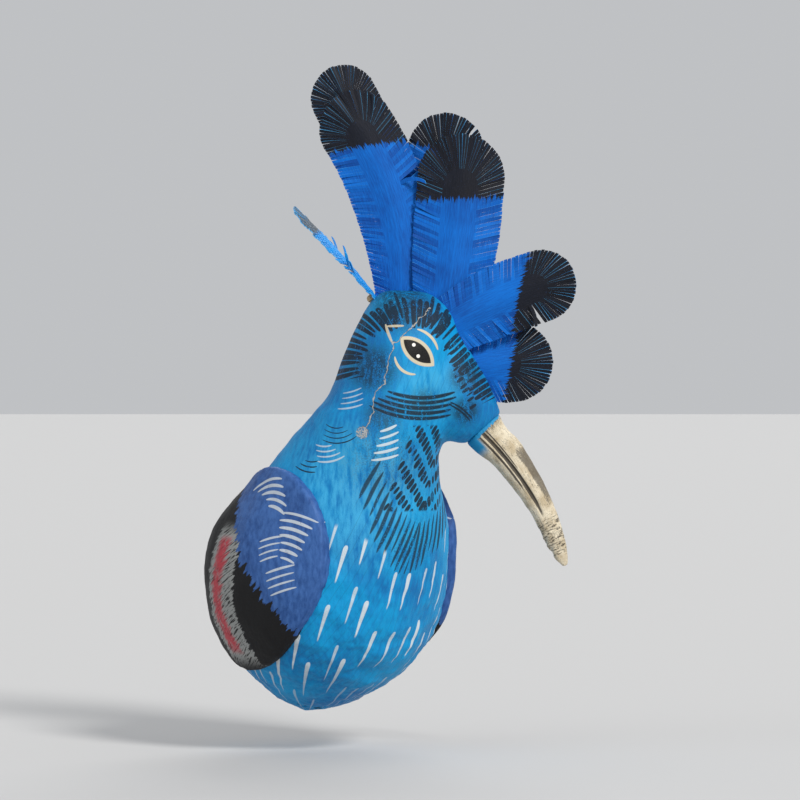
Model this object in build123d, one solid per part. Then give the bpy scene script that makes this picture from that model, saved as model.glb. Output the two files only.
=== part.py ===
"""Alebrije bird bust: a hollow papier-mache bird with a card-feather crest, hung flat on a wall.

The bird leans out of the wall, turns its head to its left and points a long curved beak down.
X is the bird's left, -Y is out of the wall towards the viewer, and Z is up. The origin is on the
wall face, at the height of the widest part of the body. All sizes are in millimetres.
"""
from build123d import *
from math import cos, radians, sin, sqrt, tan
import os

# ---- driving dimensions: body -------------------------------------------------------------------
WALL = 3.5              # thickness of the papier-mache
BREAST_RADIUS = 77.0    # the balloon-formed body at its widest
BREAST_OUT = 58.0       # how far the middle of the body stands out from the wall
BELLY_DROP = 99.0       # from the widest height down to the lowest point
BODY_LEAN = 14.0        # forward lean of the lower body, in degrees

# ---- driving dimensions: head -------------------------------------------------------------------
NECK_RADIUS = 42.5      # where the head shell meets the body shell
NECK_OUT = 106.5        # middle of that joint, out from the wall
NECK_UP = 84.0          # and above the widest height
HEAD_TURN = 52.0        # the head turns this far to the bird's left, in degrees
COLLAR_HEIGHT = 10.0    # card collar inside the neck joint, this far to each side of it
COLLAR_RADIUS = 38.2    # it fits the body shell and tapers into the head shell
COLLAR_TAPER = 5.6      # its radius at the top is this much less
COLLAR_BORE = 33.0

# ---- driving dimensions: beak -------------------------------------------------------------------
BEAK_DEPTH = 26.0       # from the ridge to the underside, at the face
BEAK_BREADTH = 19.0     # across, at the face
BEAK_NARROWING = 16.0   # how much less deep it is at the tip, before the tip is rounded off
BEAK_BLUNTNESS = 0.9
BEAK_STATIONS = 9
BEAK_PLUG = 12.0        # the tail of the beak that is glued into the face
WIRE_RADIUS = 1.25      # annealed wire down the middle of the beak
WIRE_SHARE = 0.8        # it stops at this share of the beak's length
WIRE_TAIL = 42.0        # and runs on straight this far into the head

# ---- driving dimensions: wings and wall board ---------------------------------------------------
WING_RELIEF = 3.5       # how far a wing pad stands up from the body
WING_LONG = 70.0        # half of the oval pad's length, seen from the side
WING_SHORT = 56.0       # half of its width
WING_OUT = 58.0         # its middle, out from the wall
WING_UP = -5.0          # and above the widest height
LEFT_WING_BACK = 8.0    # the left pad is glued on this much nearer to the wall
WING_SLOPE = 53.0       # its long axis slopes down to the wall by this many degrees
BOARD_THICKNESS = 6.0
HANG_HOLE_RADIUS = 3.0  # two hanging holes, side by side
HANG_HOLE_GAP = 50.0    # between their middles
HANG_HOLE_UP = 12.0     # above the origin

# ---- driving dimensions: crest ------------------------------------------------------------------
CARD = 0.6              # painted card
FOLD = 9.0              # each half of a feather falls back from the crease by this, in degrees
STICK_RADIUS = 1.1      # split-cane stick glued behind the crease
STICK_SHARE = 0.45      # it runs up this share of the feather
STICK_INSIDE = 12.0     # and goes this far through the crown
GLUE_RADIUS = 2.6       # drop of glue behind the foot of each stick
GLUE_OFF = 0.5          # the drop's surface is this far behind the card
FIT = 0.02              # gap between a card and its stick
FULL_WIDTH = 0.7        # a feather is full width at this share of its straight part
STRAIGHT_STATIONS = 4   # rings along that straight part
ROUND_STATIONS = 8      # and from there round the tip
LAST_TURN = 88.0        # the rings stop this far round the tip, in degrees
LEAST_BOW = 0.01        # a straight crease is drawn as an arc with this much bow

# The head is laid out in its own upright centre plane: x forward along the bill, y up, z out to
# the bird's right cheek, measured from the middle of the neck joint.
NECK_MIDDLE = (0, -NECK_OUT, NECK_UP)
TURN = radians(HEAD_TURN)
HEAD = Plane(
    origin=NECK_MIDDLE,
    x_dir=(sin(TURN), -cos(TURN), 0),
    z_dir=(-cos(TURN), -sin(TURN), 0),
)

# Rings of the skull in that plane, from the neck joint up to the crown: front point, back point
# and half width of the head.
SKULL_RINGS = (
    ((39.8, -15.0), (-39.2, 14.4), NECK_RADIUS),
    ((46.0, 14.0), (-27.0, 33.0), 40.0),
    ((52.0, 46.0), (-19.0, 54.0), 37.0),
    ((50.0, 72.0), (-10.0, 74.0), 30.0),
    ((38.0, 86.5), (0.0, 87.0), 18.0),
    ((27.0, 90.5), (11.0, 90.5), 7.0),
)

# Rings of the face, from inside the skull down to the beak: throat point, forehead point, half
# width.
FACE_RINGS = (
    ((26.0, 0.0), (48.0, 71.0), 24.0),
    ((45.5, -6.0), (66.5, 42.0), 23.0),
    ((58.0, -8.0), (80.0, 11.5), 10.8),
)

# Middle line of the beak in that plane: at the face, half way along and at the tip.
BEAK_MIDDLE = ((68.8, 1.8), (100.5, -38.5), (121.8, -87.0))

# Rings of the body: distance out from the wall, height, radius, lean in degrees, and how far the
# lean is turned to the bird's left, because the neck follows the head.
BODY_RINGS = (
    (31.0, -BELLY_DROP, 7.0, BODY_LEAN, 0),
    (32.5, -93.5, 22.0, BODY_LEAN, 0),
    (37.0, -79.0, 43.5, BODY_LEAN, 0),
    (44.0, -57.0, 63.0, BODY_LEAN, 0),
    (51.0, -29.0, 75.0, BODY_LEAN, 0),
    (BREAST_OUT, 0.0, BREAST_RADIUS, BODY_LEAN, 0),
    (74.0, 30.0, 67.5, BODY_LEAN, 0),
    (90.0, 57.0, 54.5, 19.0, 10),
    (98.5, 70.5, 48.0, 20.0, 30),
)

# Crest feathers: foot and tip in the head plane, how far each stands towards the right cheek at
# foot and tip, bow of the crease, width, width at the foot, and turn about its own axis.
FEATHERS = (
    ((-1.0, 88.0), (-53.5, 145.5), (0.0, 0.0), 2.0, 34.0, 14.0, 82.0),
    ((15.5, 90.5), (-28.0, 215.5), (-3.0, 3.0), 13.0, 50.0, 34.0, 0.0),
    ((22.0, 87.0), (-32.5, 236.0), (-14.5, -17.0), 8.0, 44.0, 28.0, 0.0),
    ((32.0, 88.6), (50.0, 206.5), (-8.5, -9.0), -2.0, 51.0, 30.0, 0.0),
    ((45.0, 81.0), (55.5, 192.5), (2.5, 5.0), 2.0, 57.0, 44.0, 0.0),
    ((52.0, 71.0), (128.0, 99.5), (7.5, 16.0), -3.0, 47.0, 40.0, 0.0),
    ((67.0, 41.7), (114.0, 48.5), (0.5, 3.0), 0.0, 52.0, 40.0, 0.0),
)


# ---- hollow forms -------------------------------------------------------------------------------
def head_ring(throat, crown, half_width, grow):
    """One ellipse across the head, from its throat point to its crown point."""
    low = Vector(*throat)
    high = Vector(*crown)
    up = (high - low).normalized()
    travel = up.cross(Vector(0, 0, 1))
    across = Plane(origin=(low + high) / 2, x_dir=(0, 0, 1), z_dir=travel)
    return HEAD * (across * Ellipse(half_width + grow, (high - low).length / 2 + grow))


def body_ring(out, up, radius, lean, turn, grow):
    """One circle across the body, its seam below the right cheek of the turned head."""
    tilt = radians(lean)
    to_left = radians(turn)
    axis = Vector(sin(tilt) * sin(to_left), -sin(tilt) * cos(to_left), cos(tilt))
    cheek = Vector(-cos(TURN), -sin(TURN), 0)
    seam = cheek - axis * cheek.dot(axis)
    return Plane(origin=(0, -out, up), x_dir=seam, z_dir=axis) * Circle(radius + grow)


def head_form(grow=0.0):
    """The head as a solid, its surface moved out by grow; a hollow stops a ring below the crown."""
    rings = SKULL_RINGS[:-1] if grow < 0 else SKULL_RINGS
    skull = loft([head_ring(*ring, grow) for ring in rings])
    face = loft([head_ring(*ring, grow) for ring in FACE_RINGS])
    return skull + face


def body_form(grow=0.0):
    """The body from its lowest point to the neck joint, before the back is cut flat."""
    (out, up, *size), *rings = BODY_RINGS
    lowest = body_ring(out, up - grow, *size, 0)
    body = [body_ring(*ring, grow) for ring in rings]
    return loft([lowest, *body, head_ring(*SKULL_RINGS[0], grow)])


def in_front_of_wall(solid):
    """The solid without anything behind the wall face."""
    reach = 4 * BREAST_RADIUS
    return solid & Pos(0, -reach / 2, 0) * Box(2 * reach, reach, 2 * reach)


# ---- beak ---------------------------------------------------------------------------------------
def beak_line():
    """Middle line of the beak in the head plane, from the face to the tip."""
    return ThreePointArc(*BEAK_MIDDLE)


def beak_ring(line, share):
    """One oval across the beak, which tapers evenly and is rounded off at the tip."""
    depth = (BEAK_DEPTH - BEAK_NARROWING * share) * sqrt(1 - BEAK_BLUNTNESS * share**8)
    breadth = depth * BEAK_BREADTH / BEAK_DEPTH
    cross = Plane(origin=line @ share, x_dir=(0, 0, 1), z_dir=line % share)
    return HEAD * (cross * Ellipse(breadth / 2, depth / 2))


def beak_wire():
    """Wire down the beak's middle line, running on straight into the hollow head."""
    line = beak_line()
    cut = Plane(origin=line @ 0, z_dir=line % 0) * Circle(WIRE_RADIUS)
    bent = sweep(cut, path=line.trim(0, WIRE_SHARE))
    straight = extrude(cut, WIRE_TAIL, dir=(line % 0) * -1)
    return HEAD * (bent + straight)


def beak():
    """Horn-shaped beak with a tail that plugs the open face."""
    line = beak_line()
    shares = [sin(radians(90 * step / BEAK_STATIONS)) for step in range(BEAK_STATIONS + 1)]
    horn = loft([beak_ring(line, share) for share in shares])
    inward = Plane(origin=line @ 0, x_dir=(0, 0, 1), z_dir=(line % 0) * -1)
    mouth = Ellipse(BEAK_BREADTH / 2 - WALL, BEAK_DEPTH / 2 - WALL)
    plug = HEAD * (inward * extrude(mouth, BEAK_PLUG))
    return horn + plug


# ---- wings and wall board -----------------------------------------------------------------------
def wing(side, out):
    """Raised oval pad on one flank; side is -1 for the bird's right and 1 for its left."""
    raised = body_form(WING_RELIEF) - body_form()
    flank = Plane(origin=(0, -out, WING_UP), x_dir=(0, 1, 0), z_dir=(1, 0, 0))
    oval = flank * Rot(0, 0, -WING_SLOPE) * Ellipse(WING_LONG, WING_SHORT)
    reach = 2 * BREAST_RADIUS
    prism = extrude(oval, reach * side, dir=(1, 0, 0))
    return in_front_of_wall(raised & prism)


def back_board(hollow):
    """Flat board that closes the back and lies on the wall, with two holes to hang it by."""
    reach = 2 * BREAST_RADIUS
    slab = Pos(0, -BOARD_THICKNESS / 2, 0) * Box(2 * reach, BOARD_THICKNESS, 2 * reach)
    board = hollow & slab
    for across in (-HANG_HOLE_GAP / 2, HANG_HOLE_GAP / 2):
        drill = Rot(90, 0, 0) * Cylinder(HANG_HOLE_RADIUS, 4 * BOARD_THICKNESS)
        board -= Pos(across, 0, HANG_HOLE_UP) * drill
    return board


def neck_collar():
    """Card collar glued inside both shells across the neck joint."""
    top_radius = COLLAR_RADIUS - COLLAR_TAPER
    lower = Pos(0, 0, -COLLAR_HEIGHT / 2) * Cylinder(COLLAR_RADIUS, COLLAR_HEIGHT)
    upper = Pos(0, 0, COLLAR_HEIGHT / 2) * Cone(COLLAR_RADIUS, top_radius, COLLAR_HEIGHT)
    tube = lower + upper - Cylinder(COLLAR_BORE, 3 * COLLAR_HEIGHT)
    return HEAD * (head_joint_plane() * tube)


def head_joint_plane():
    """The neck joint in the head plane, facing up the neck."""
    throat, nape, _ = SKULL_RINGS[0]
    up = (Vector(*nape) - Vector(*throat)).normalized()
    return Plane(origin=(0, 0, 0), x_dir=up, z_dir=up.cross(Vector(0, 0, 1)))


# ---- crest --------------------------------------------------------------------------------------
def crease_line(foot, tip, stand, bow):
    """The feather's crease: an arc from foot to tip that bows by the given amount."""
    start = Vector(*foot, stand[0])
    end = Vector(*tip, stand[1])
    side = (end - start).normalized().cross(Vector(0, 0, 1))
    return ThreePointArc(start, (start + end) / 2 + side * (bow or LEAST_BOW), end)


def card_frame(line, share, turn, sink=0.0):
    """A plane across the feather: x across the card, y out of its painted face."""
    along = line % share
    face = (Vector(0, 0, 1) - along * along.Z).normalized()
    face = face.rotate(Axis((0, 0, 0), along), turn)
    return Plane(origin=line @ share - face * sink, x_dir=face.cross(along), z_dir=along)


def vane_ring(line, share, half_width, turn):
    """The creased card cut across: a shallow roof, one card thick."""
    drop = half_width * tan(radians(FOLD))
    roof = Polyline(
        (-half_width, -drop),
        (0, 0),
        (half_width, -drop),
        (half_width, -drop - CARD),
        (0, -CARD),
        (-half_width, -drop - CARD),
        close=True,
    )
    return HEAD * (card_frame(line, share, turn) * make_face(roof))


def vane(foot, tip, stand, bow, width, foot_width, turn):
    """A creased card feather with a round tip."""
    line = crease_line(foot, tip, stand, bow)
    round_from = 1 - width / 2 / line.length
    shares = [round_from * step / STRAIGHT_STATIONS for step in range(STRAIGHT_STATIONS)]
    for step in range(ROUND_STATIONS + 1):
        turned = sin(radians(LAST_TURN * step / ROUND_STATIONS))
        shares.append(round_from + (1 - round_from) * turned)
    rings = []
    for share in shares:
        widening = min(1.0, share / round_from / FULL_WIDTH)
        half = foot_width / 2 + (width - foot_width) / 2 * widening * (2 - widening)
        past = max(0.0, (share - round_from) / (1 - round_from))
        rings.append(vane_ring(line, share, half * sqrt(1 - past * past), turn))
    return loft(rings, ruled=True)


def cane(foot, tip, stand, bow, turn):
    """The stick behind the crease, with its foot through the crown."""
    line = crease_line(foot, tip, stand, bow)
    sink = CARD + STICK_RADIUS / cos(radians(FOLD)) + FIT
    start = card_frame(line, 0, turn, sink)
    middle = card_frame(line, STICK_SHARE / 2, turn, sink)
    end = card_frame(line, STICK_SHARE, turn, sink)
    arc = ThreePointArc(start.origin, middle.origin, end.origin)
    tail = Line(start.origin - (arc % 0) * STICK_INSIDE, start.origin)
    cut = Plane(origin=tail @ 0, z_dir=arc % 0) * Circle(STICK_RADIUS)
    return HEAD * sweep(cut, path=Wire([tail, arc]))


def glue_bead(foot, tip, stand, bow, turn):
    """A drop of glue on the crown, behind the foot of one stick."""
    line = crease_line(foot, tip, stand, bow)
    seat = card_frame(line, 0, turn, CARD + GLUE_RADIUS + GLUE_OFF)
    return HEAD * (seat * Sphere(GLUE_RADIUS))


# ---- assembly -----------------------------------------------------------------------------------
def build():
    """Every piece of the bird, by the name of its node."""
    hollow_body = body_form(-WALL)
    head = head_form()
    pieces = {"body_shell": in_front_of_wall(body_form() - hollow_body)}
    vanes = []
    canes = []
    for foot, tip, stand, bow, width, foot_width, turn in FEATHERS:
        stick = cane(foot, tip, stand, bow, turn)
        card = vane(foot, tip, stand, bow, width, foot_width, turn)
        vanes.append(card - head - stick)
        canes.append(stick)
    head_shell = head - head_form(-WALL)
    beads = []
    for stick, (foot, tip, stand, bow, _, _, turn) in zip(canes, FEATHERS):
        head_shell -= stick
        beads.append(glue_bead(foot, tip, stand, bow, turn) - stick - head)
    pieces["head_shell"] = head_shell
    pieces["neck_collar"] = neck_collar()
    pieces["back_board"] = back_board(hollow_body)
    pieces["right_wing"] = wing(-1, WING_OUT)
    pieces["left_wing"] = wing(1, WING_OUT - LEFT_WING_BACK)
    wire = beak_wire()
    pieces["beak"] = beak() - wire - head_shell
    pieces["beak_wire"] = wire
    for number, (card, stick) in enumerate(zip(vanes, canes), start=1):
        pieces[f"crest_feather_{number}"] = card
        pieces[f"crest_stick_{number}"] = stick
    pieces["crest_glue"] = Compound(children=[bead.solids()[0] for bead in beads])
    return pieces


os.makedirs("parts", exist_ok=True)
for node, piece in build().items():
    export_step(piece, f"parts/{node}.step")
    print(node, round(piece.volume))
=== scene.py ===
from math import atan, atan2, ceil, cos, pi, radians, sin, tan
from random import Random
import bpy
from mathutils import Matrix, Quaternion, Vector


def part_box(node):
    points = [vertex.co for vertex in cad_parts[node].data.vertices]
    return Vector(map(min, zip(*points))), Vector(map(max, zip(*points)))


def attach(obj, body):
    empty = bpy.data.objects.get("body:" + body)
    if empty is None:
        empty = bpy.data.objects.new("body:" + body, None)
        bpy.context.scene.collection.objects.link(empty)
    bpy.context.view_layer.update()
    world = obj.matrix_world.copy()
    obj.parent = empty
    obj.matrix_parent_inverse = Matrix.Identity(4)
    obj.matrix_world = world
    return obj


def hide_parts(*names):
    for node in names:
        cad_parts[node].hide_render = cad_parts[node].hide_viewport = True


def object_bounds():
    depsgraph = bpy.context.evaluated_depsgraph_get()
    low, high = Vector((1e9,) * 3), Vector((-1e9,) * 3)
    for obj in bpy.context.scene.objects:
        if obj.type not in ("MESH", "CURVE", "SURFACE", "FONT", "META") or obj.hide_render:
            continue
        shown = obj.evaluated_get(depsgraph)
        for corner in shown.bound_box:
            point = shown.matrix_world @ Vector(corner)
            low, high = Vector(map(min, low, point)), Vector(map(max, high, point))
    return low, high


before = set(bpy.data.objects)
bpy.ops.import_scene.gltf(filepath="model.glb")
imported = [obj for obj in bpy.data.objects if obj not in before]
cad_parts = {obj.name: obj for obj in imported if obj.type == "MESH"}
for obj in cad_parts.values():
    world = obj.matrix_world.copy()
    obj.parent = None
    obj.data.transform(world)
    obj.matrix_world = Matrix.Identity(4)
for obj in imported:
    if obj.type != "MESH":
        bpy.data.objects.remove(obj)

cad_low, cad_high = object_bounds()

# ---- studio -------------------------------------------------------------------------------------
# The bust hangs over a plain pale floor, lit from the front right, filled from behind.
# The long lens looks level at the bird's right cheek, square to the head's centre plane.
MM = 0.001
HEAD_TURN = radians(52)             # the head turns this far to the bird's left
FORWARD = Vector((sin(HEAD_TURN), -cos(HEAD_TURN), 0))      # along the bill
UP = Vector((0, 0, 1))
CHEEK = FORWARD.cross(UP)           # out of the right cheek, towards the viewer
LENS_DISTANCE = 2.5
FIELD_WIDTH = 0.52
SENSOR = 36

aim = (cad_low + cad_high) / 2 + FORWARD * 13 * MM - UP * 7 * MM
lens = bpy.data.cameras.new("viewer")
lens.sensor_width = SENSOR
lens.lens = SENSOR * LENS_DISTANCE / FIELD_WIDTH
viewer = bpy.data.objects.new("viewer", lens)
viewer.location = aim + CHEEK * LENS_DISTANCE
viewer.rotation_euler = CHEEK.to_track_quat("Z", "Y").to_euler()
bpy.context.collection.objects.link(viewer)
bpy.context.scene.camera = viewer


def soft_lamp(name, side, strength, spread, colour):
    """A distant lamp that shines on the bust from one side; a wide spread gives soft shadows."""
    lamp = bpy.data.lights.new(name, "SUN")
    lamp.energy = strength
    lamp.angle = radians(spread)
    lamp.color = colour
    holder = bpy.data.objects.new(name, lamp)
    holder.rotation_euler = side.to_track_quat("Z", "Y").to_euler()
    bpy.context.collection.objects.link(holder)


soft_lamp("key", CHEEK * 0.85 + FORWARD * 0.6 + UP * 0.75, 2.7, 14, (1, 0.98, 0.95))
soft_lamp("fill", CHEEK * 0.6 - FORWARD + UP * 0.4, 0.35, 40, (0.9, 0.95, 1))
soft_lamp("rear", -CHEEK + FORWARD * 0.3 + UP * 0.8, 1.0, 40, (1, 1, 1))

FLOOR_GAP = 25 * MM
bpy.ops.mesh.primitive_circle_add(
    vertices=96, radius=60, fill_type="NGON", location=(0, 0, cad_low.z - FLOOR_GAP)
)
floor = bpy.context.object
floor.name = "floor"
floor_paint = bpy.data.materials.new("floor_paint")
floor_paint.use_nodes = True
floor_surface = floor_paint.node_tree.nodes["Principled BSDF"]
floor_surface.inputs["Base Color"].default_value = (0.5, 0.5, 0.5, 1)
floor_surface.inputs["Roughness"].default_value = 0.9
floor.data.materials.append(floor_paint)

world = bpy.data.worlds.new("pale_room")
world.use_nodes = True
world.node_tree.nodes["Background"].inputs["Color"].default_value = (0.95, 0.97, 1, 1)
world.node_tree.nodes["Background"].inputs["Strength"].default_value = 0.55
bpy.context.scene.world = world
bpy.context.scene.view_settings.view_transform = "Standard"


# ---- wall board ---------------------------------------------------------------------------------
# A flat disc of hardboard closes the back and lies on the wall. It is sawn to the body's outline,
# drilled with two hanging holes and glued into the paper shell.
class Shade:
    """A value in a material's nodes; a sum written with it adds the nodes that work it out."""

    def __init__(self, tree, socket=None):
        self.tree = tree
        self.socket = socket

    def add(self, kind, settings, inputs, output=0):
        """Any node: its type, its settings, then the values or links of its sockets."""
        node = self.tree.nodes.new(kind)
        for name, value in settings.items():
            setattr(node, name, value)
        for name, value in inputs.items():
            if isinstance(value, Shade):
                self.tree.links.new(value.socket, node.inputs[name])
            else:
                node.inputs[name].default_value = value
        return Shade(self.tree, node.outputs[output])

    def maths(self, operation, *values):
        return self.add("ShaderNodeMath", {"operation": operation}, dict(enumerate(values)))

    def vectors(self, operation, *values, output=0):
        return self.add("ShaderNodeVectorMath", {"operation": operation}, dict(enumerate(values)), output)

    def __add__(self, other):
        return self.maths("ADD", self, other)

    def __radd__(self, other):
        return self.maths("ADD", other, self)

    def __sub__(self, other):
        return self.maths("SUBTRACT", self, other)

    def __rsub__(self, other):
        return self.maths("SUBTRACT", other, self)

    def __mul__(self, other):
        return self.maths("MULTIPLY", self, other)

    def __rmul__(self, other):
        return self.maths("MULTIPLY", other, self)

    def __truediv__(self, other):
        return self.maths("DIVIDE", self, other)

    def __pow__(self, other):
        return self.maths("POWER", self, other)

    def __abs__(self):
        return self.maths("ABSOLUTE", self)

    def floor(self):
        return self.maths("FLOOR", self)

    def round(self):
        return self.maths("ROUND", self)

    def most(self, other):
        return self.maths("MAXIMUM", self, other)

    def least(self, other):
        return self.maths("MINIMUM", self, other)

    def fades(self, low, high):
        """0 at low, 1 at high, and smooth between."""
        ends = {"Value": self, "From Min": low, "From Max": high}
        return self.add("ShaderNodeMapRange", {"interpolation_type": "SMOOTHSTEP"}, ends)

    def dot(self, direction):
        """How far this vector reaches along a direction."""
        return self.vectors("DOT_PRODUCT", self, direction, output="Value")

    def stretched(self, *factors):
        """This vector with each of its parts multiplied by its own factor."""
        return self.vectors("MULTIPLY", self, factors)

    def noise(self, scale, detail=3.0, roughness=0.55):
        """Soft random values around a half over this vector."""
        inputs = {"Vector": self, "Scale": scale, "Detail": detail, "Roughness": roughness}
        return self.add("ShaderNodeTexNoise", {}, inputs)

    def chance(self):
        """One random value from 0 to 1 for each whole number."""
        return self.add("ShaderNodeTexWhiteNoise", {"noise_dimensions": "1D"}, {"W": self})

    def blend(self, low, high):
        """A colour that goes from low to high as this value goes from 0 to 1."""
        return self.add("ShaderNodeMix", {"data_type": "RGBA"}, {0: self, 6: low, 7: high}, 2)


def coloured(name, paint, **fixed):
    """A material whose paint function gives its colour, its roughness and its relief in mm."""
    material = bpy.data.materials.new(name)
    material.use_nodes = True
    surface = material.node_tree.nodes["Principled BSDF"]
    start = Shade(material.node_tree)
    place = start.add("ShaderNodeTexCoord", {}, {}, "Object").stretched(1 / MM, 1 / MM, 1 / MM)
    colour, roughness, relief = paint(place)
    bump = relief.add("ShaderNodeBump", {}, {"Height": relief, "Distance": MM, "Strength": 1.0})
    for socket, value in (("Base Color", colour), ("Roughness", roughness), ("Normal", bump)):
        material.node_tree.links.new(value.socket, surface.inputs[socket])
    for socket, value in fixed.items():
        surface.inputs[socket.replace("_", " ")].default_value = value
    return material


def wear(material, *objects):
    """The objects take the material all over."""
    for thing in objects:
        thing.data.materials.clear()
        thing.data.materials.append(material)


def board_paint(place):
    """Pressed brown wood fibre, darker in blotches, with a fine matted relief."""
    fibre = place.stretched(1, 1, 0.35).noise(1.6, 6)
    blotch = place.noise(0.03)
    matted = (fibre * 0.6 + blotch * 0.6).fades(0.4, 0.85)
    colour = matted.blend((0.10, 0.055, 0.028, 1), (0.27, 0.17, 0.09, 1))
    return colour, fibre * 0.3 + 0.6, fibre * 0.25


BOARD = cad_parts["back_board"]
wear(coloured("hardboard", board_paint), BOARD)


# ---- painted paper body and head ----------------------------------------------------------------
# Papier-mache laid over a balloon in strips, dried hollow, then joined at the neck and painted
# with brushed bands and strokes. The paper pulled in as it dried, so the belly is creased.
NECK = Vector((0, -106.5, 84))              # middle of the neck joint, in mm
THROAT = Vector((39.8, -15))                # ends of the joint's ring in the head's centre plane
NAPE = Vector((-39.2, 14.4))
PAPER_GRAIN = 1.6 * MM                      # size of the remeshed faces
RIM_TRIM = 0.4 * MM                         # the shell's rim is sanded back from the wall by this


def alone(thing):
    """Only this object is selected, and it is the active one."""
    bpy.ops.object.select_all(action="DESELECT")
    thing.select_set(True)
    bpy.context.view_layer.objects.active = thing


def copy_of(name, *nodes):
    """A new object with the shapes of the CAD nodes, their loose triangles merged."""
    copies = []
    for node in nodes:
        twin = bpy.data.objects.new(name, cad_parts[node].data.copy())
        bpy.context.collection.objects.link(twin)
        copies.append(twin)
    bpy.ops.object.select_all(action="DESELECT")
    for twin in copies:
        twin.select_set(True)
    bpy.context.view_layer.objects.active = copies[0]
    if len(copies) > 1:
        bpy.ops.object.join()
    piece = bpy.context.view_layer.objects.active
    bpy.ops.object.mode_set(mode="EDIT")
    bpy.ops.mesh.select_all(action="SELECT")
    bpy.ops.mesh.remove_doubles(threshold=0.01 * MM)
    bpy.ops.object.mode_set(mode="OBJECT")
    piece.name = name
    return piece


def modify(thing, kind, **settings):
    """Adds one modifier and applies it at once."""
    alone(thing)
    modifier = thing.modifiers.new(kind.lower(), kind)
    for name, value in settings.items():
        setattr(modifier, name, value)
    bpy.ops.object.modifier_apply(modifier=modifier.name)


def weighted(thing, name, weight):
    """A vertex group whose weight at each point comes from the function."""
    group = thing.vertex_groups.new(name=name)
    for vertex in thing.data.vertices:
        group.add([vertex.index], weight(vertex.co / MM), "REPLACE")
    return name


def lumps(name, kind, size, depth=2):
    """A noise texture for moulding a surface."""
    texture = bpy.data.textures.new(name, kind)
    texture.noise_scale = size * MM
    if kind == "CLOUDS":
        texture.noise_depth = depth
    return texture


def ramp(value, low, high):
    """0 at low, 1 at high."""
    return max(0.0, min(1.0, (value - low) / (high - low)))


def in_head(point):
    """A point in mm as forward, up and out of the cheek, from the middle of the neck joint."""
    offset = point - NECK
    return Vector((offset.dot(FORWARD), offset.dot(UP), offset.dot(CHEEK)))


def beside_the_brow(point):
    """How near a point is to the hollow where the face runs into the skull, from 0 to 1."""
    local = in_head(point)
    off = Vector((local.x - 47, (local.y - 27) * 0.62))
    return ramp(off.length, 26, 15)


def belly_creases(point):
    """How deeply the paper creased here as it dried, from 0 to 1; the board holds its rim even."""
    return (0.15 + 0.85 * ramp(point.z, 30, -50)) * ramp(-point.y, 5, 20)


paper = copy_of("paper_skin", "body_shell", "head_shell")
modify(paper, "REMESH", mode="VOXEL", voxel_size=PAPER_GRAIN)
modify(paper, "SMOOTH", factor=0.5, iterations=8)
brow = weighted(paper, "brow", beside_the_brow)
modify(paper, "SMOOTH", factor=0.7, iterations=60, vertex_group=brow)
off_wall = weighted(paper, "off_wall", lambda point: ramp(-point.y, 5, 20))
modify(paper, "DISPLACE", texture=lumps("paper_lumps", "CLOUDS", 34), strength=2.4 * MM, mid_level=0.5,
       texture_coords="LOCAL", vertex_group=off_wall)
low_belly = weighted(paper, "low_belly", belly_creases)
modify(paper, "DISPLACE", texture=lumps("paper_creases", "CLOUDS", 13, 3), strength=3.8 * MM, mid_level=0.5,
       texture_coords="LOCAL", vertex_group=low_belly)


def cut_away(thing, point, normal):
    """Cuts the object by a plane, drops the side that the normal points away from, closes the cut."""
    alone(thing)
    bpy.ops.object.mode_set(mode="EDIT")
    bpy.ops.mesh.select_all(action="SELECT")
    bpy.ops.mesh.bisect(plane_co=point, plane_no=normal, use_fill=True, clear_inner=True)
    bpy.ops.object.mode_set(mode="OBJECT")


joint_line = NAPE - THROAT
neck_axis = (FORWARD * joint_line.y - UP * joint_line.x).normalized()
body = paper
head = paper.copy()
head.data = paper.data.copy()
bpy.context.collection.objects.link(head)
cut_away(head, NECK * MM, neck_axis)
cut_away(body, NECK * MM, -neck_axis)
cut_away(body, (0, -RIM_TRIM, 0), (0, -1, 0))
body.name = "painted_body"
head.name = "painted_head"
for shell in (body, head):
    alone(shell)
    bpy.ops.object.shade_smooth_by_angle(angle=radians(50))


def arc_centre(start, middle, end):
    """Centre of the circle through three points of a plane."""
    first, second = middle - start, end - start
    turn = 2 * (first.x * second.y - first.y * second.x)
    return start + Vector((
        second.y * first.length_squared - first.y * second.length_squared,
        first.x * second.length_squared - second.x * first.length_squared,
    )) / turn


class Route:
    """An arc through three points of a plane, and where a place lies along it and across it."""

    def __init__(self, place, start, middle, end):
        start, middle, end = Vector(start), Vector(middle), Vector(end)
        centre = arc_centre(start, middle, end)
        radius = (start - centre).length
        spoke = (middle - centre).normalized()
        ahead = Vector((-spoke.y, spoke.x))
        if ahead.dot(end - start) < 0:
            ahead = -ahead
        arm = place.vectors("SUBTRACT", place, (*centre, 0)).stretched(1, 1, 0)
        angle = arm.maths("ARCTAN2", arm.dot((*ahead, 0)), arm.dot((*spoke, 0)))
        spread = [abs(atan2((end_point - centre).dot(ahead), (end_point - centre).dot(spoke)))
                  for end_point in (start, end)]
        self.half = radius * (spread[0] + spread[1]) / 2
        self.along = angle * radius
        self.across = arm.vectors("LENGTH", arm, output="Value") - radius


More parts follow.
